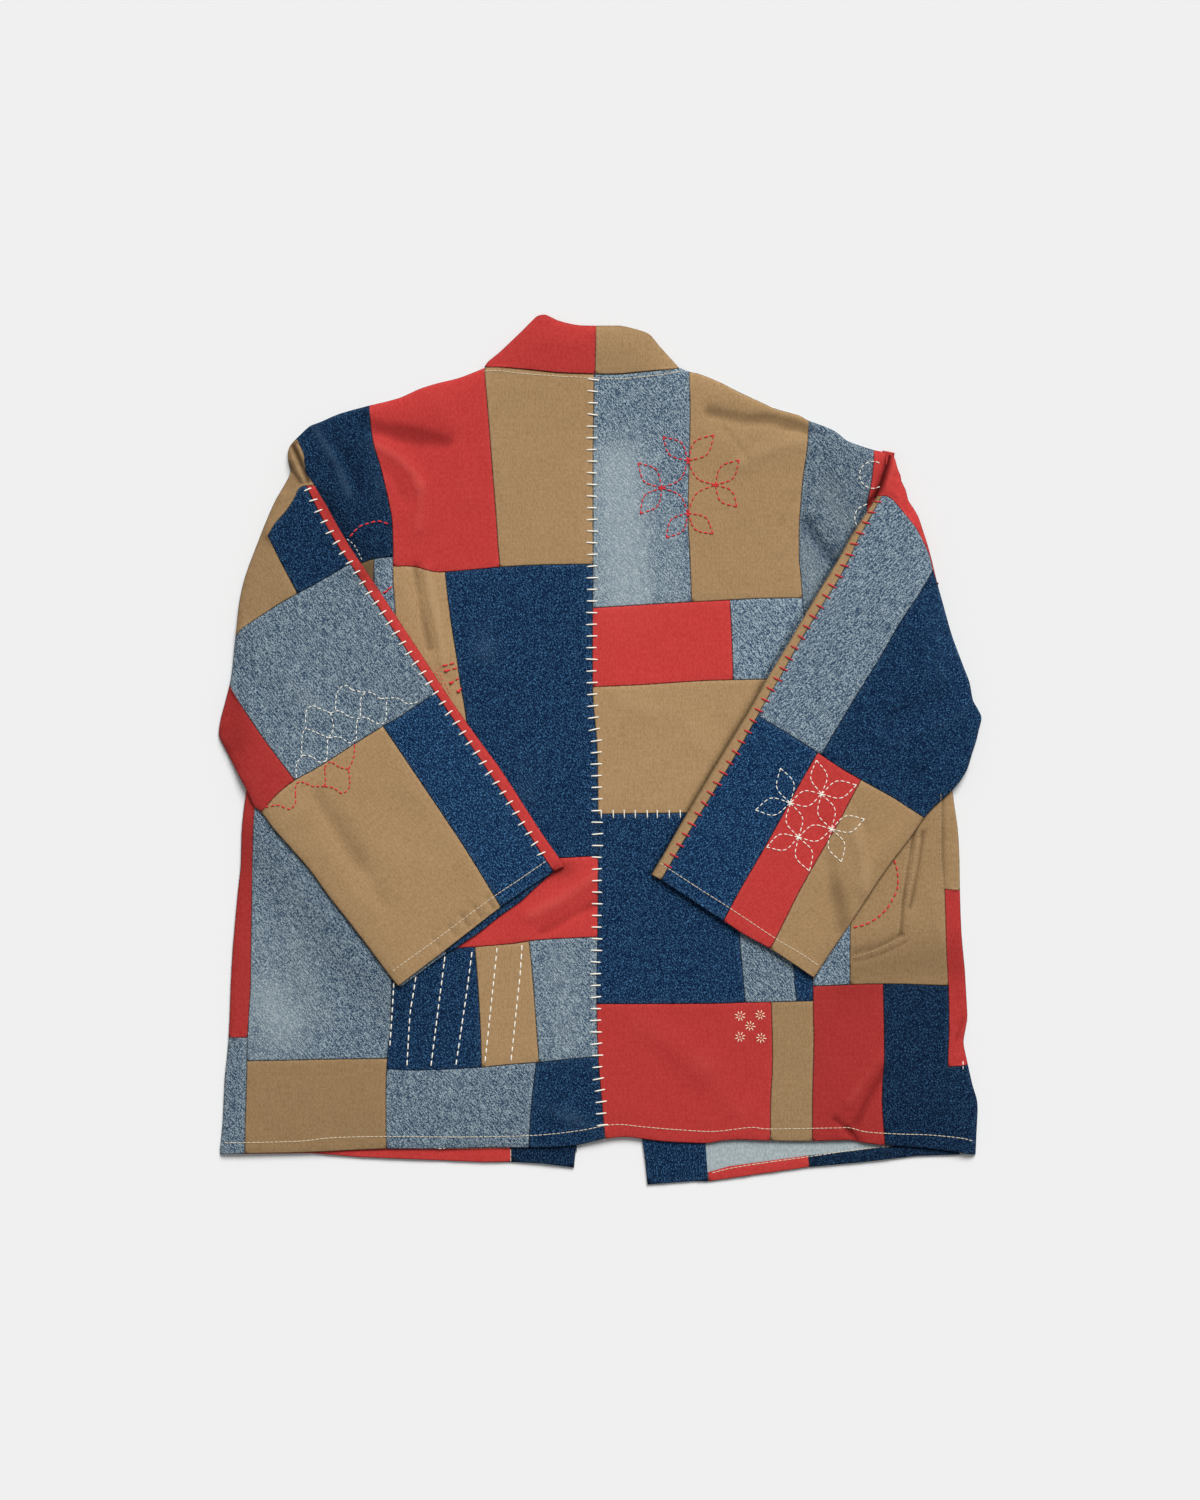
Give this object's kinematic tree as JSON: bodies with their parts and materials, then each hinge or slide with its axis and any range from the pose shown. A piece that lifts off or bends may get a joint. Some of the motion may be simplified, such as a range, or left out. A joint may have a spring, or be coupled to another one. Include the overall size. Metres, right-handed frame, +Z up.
{
  "type": "patchwork jacket",
  "caption": "Patched boro jacket laid flat with its back up, both sleeves folded in over the back, in dark and washed denim, tan and red cotton with hand stitching",
  "frame": {"origin": "centre of the bounding box of the laid jacket, on the surface that it lies on", "axes": "+Z up from the surface, towards a viewer who sees the back of the jacket; +Y from the hem to the collar; +X to that viewer's right"},
  "size_m": [0.6877, 0.7845, 0.0132],
  "materials": {
    "dark_denim": "matte",
    "light_denim": "matte",
    "tan_twill": "matte",
    "red_twill": "matte"
  },
  "bodies": {
    "root": {"back_left_dark_centre": "dark_denim", "back_left_dark_hem": "dark_denim", "back_left_dark_sashiko": "dark_denim", "back_left_light_hem": "light_denim", "back_left_light_low": "light_denim", "back_left_light_side": "light_denim", "back_left_light_strip": "light_denim", "back_left_red_low": "red_twill", "back_left_red_strip": "red_twill", "back_left_red_yoke": "red_twill", "back_left_tan_hem": "tan_twill", "back_left_tan_sashiko": "tan_twill", "back_left_tan_side": "tan_twill", "back_left_tan_yoke": "tan_twill", "back_right_dark_centre": "dark_denim", "back_right_dark_hem": "dark_denim", "back_right_dark_strip": "dark_denim", "back_right_light_middle": "light_denim", "back_right_light_small": "light_denim", "back_right_light_strip": "light_denim", "back_right_light_yoke": "light_denim", "back_right_red_corner": "red_twill", "back_right_red_hem": "red_twill", "back_right_red_middle": "red_twill", "back_right_red_strip": "red_twill", "back_right_tan_hem": "tan_twill", "back_right_tan_middle": "tan_twill", "back_right_tan_pocket": "tan_twill", "back_right_tan_yoke": "tan_twill", "collar_left_red": "red_twill", "collar_right_tan": "tan_twill", "facing_left": "dark_denim", "facing_right": "dark_denim", "front_left": "light_denim", "front_right": "light_denim", "sleeve_left_dark": "dark_denim", "sleeve_left_dark_cuff": "dark_denim", "sleeve_left_light": "light_denim", "sleeve_left_red_elbow": "red_twill", "sleeve_left_red_strip": "red_twill", "sleeve_left_tan_crown": "tan_twill", "sleeve_left_tan_cuff": "tan_twill", "sleeve_left_under_dark": "dark_denim", "sleeve_left_under_light": "light_denim", "sleeve_left_upper_dark": "dark_denim", "sleeve_left_upper_light": "light_denim", "sleeve_left_upper_tan": "tan_twill", "sleeve_right_dark": "dark_denim", "sleeve_right_dark_cuff": "dark_denim", "sleeve_right_light": "light_denim", "sleeve_right_red": "red_twill", "sleeve_right_red_crown": "red_twill", "sleeve_right_tan_cuff": "tan_twill", "sleeve_right_tan_strip": "tan_twill", "sleeve_right_under_dark": "dark_denim", "sleeve_right_upper_light": "light_denim", "sleeve_right_upper_red": "red_twill", "turnup_left_red": "red_twill", "turnup_right_dark": "dark_denim", "turnup_right_red": "red_twill"}
  },
  "joints": []
}
